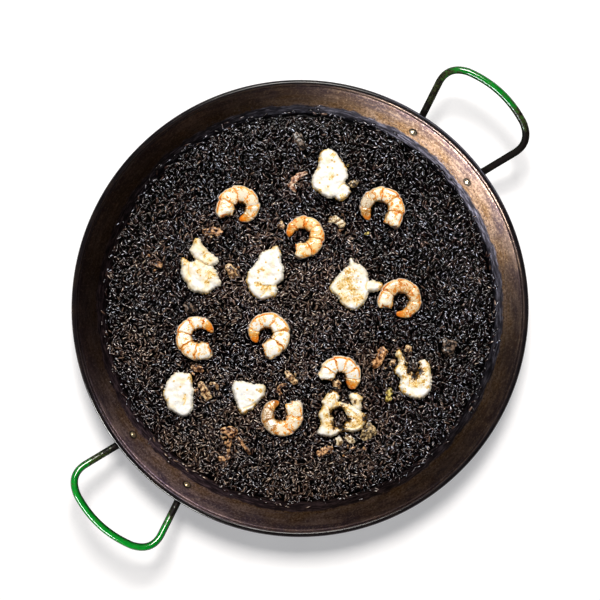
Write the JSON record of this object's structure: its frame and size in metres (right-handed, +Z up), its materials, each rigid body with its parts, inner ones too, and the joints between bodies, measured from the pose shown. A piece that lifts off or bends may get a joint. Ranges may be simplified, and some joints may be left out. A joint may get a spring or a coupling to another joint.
{
  "type": "pan of squid ink rice",
  "caption": "Wide shallow steel paella pan with enamelled loop handles, filled with black squid ink rice and topped with curled prawns, white fish and bits of squid.",
  "frame": {"origin": "on the pan's axis, at the underside of its flat base", "axes": "+Z up out of the open pan, +X through the middle of the right-hand handle's grip"},
  "size_m": [0.595, 0.46, 0.0617],
  "materials": {
    "seasoned_steel": "carbon steel, pressed and seasoned brown-black by use, satin",
    "enamelled_steel": "glossy green enamel, smoked black near the pan",
    "rivet_steel": "bright domed rivet heads",
    "ink_rice": "cooked short-grain rice, black and glossy with squid ink",
    "prawn_flesh": "cooked prawn, white flesh with orange bands, moist",
    "fish_flesh": "cooked white fish, lightly browned, moist",
    "squid_brown": "browned squid, moist",
    "squid_dark": "ink-stained squid, moist",
    "squid_pale": "pale squid and vegetable bits, moist"
  },
  "bodies": {
    "root": {"pan": "seasoned_steel", "rice": "ink_rice", "handle_right": "enamelled_steel", "handle_left": "enamelled_steel", "rivet_right_1": "rivet_steel", "rivet_right_2": "rivet_steel", "rivet_left_1": "rivet_steel", "rivet_left_2": "rivet_steel", "prawn_1": "prawn_flesh", "prawn_2": "prawn_flesh", "prawn_3": "prawn_flesh", "prawn_4": "prawn_flesh", "prawn_5": "prawn_flesh", "prawn_6": "prawn_flesh", "prawn_7": "prawn_flesh", "prawn_8": "prawn_flesh", "fish_1": "fish_flesh", "fish_2": "fish_flesh", "fish_3": "fish_flesh", "fish_4": "fish_flesh", "fish_5": "fish_flesh", "fish_6": "fish_flesh", "fish_7": "fish_flesh", "fish_8": "fish_flesh", "fish_9": "fish_flesh", "fish_ring": "fish_flesh", "squid_1": "squid_brown", "squid_2": "squid_brown", "squid_3": "squid_brown", "squid_4": "squid_brown", "squid_5": "squid_brown", "squid_6": "squid_brown", "squid_7": "squid_brown", "squid_8": "squid_brown", "squid_9": "squid_brown", "squid_10": "squid_brown", "squid_11": "squid_brown", "squid_12": "squid_brown", "squid_13": "squid_brown", "squid_14": "squid_brown", "squid_15": "squid_brown", "squid_16": "squid_dark", "squid_17": "squid_dark", "squid_18": "squid_dark", "squid_19": "squid_dark", "squid_20": "squid_pale", "squid_21": "squid_pale", "squid_22": "squid_pale", "squid_23": "squid_pale", "squid_24": "squid_pale", "baby_squid": "squid_brown"}
  },
  "joints": []
}
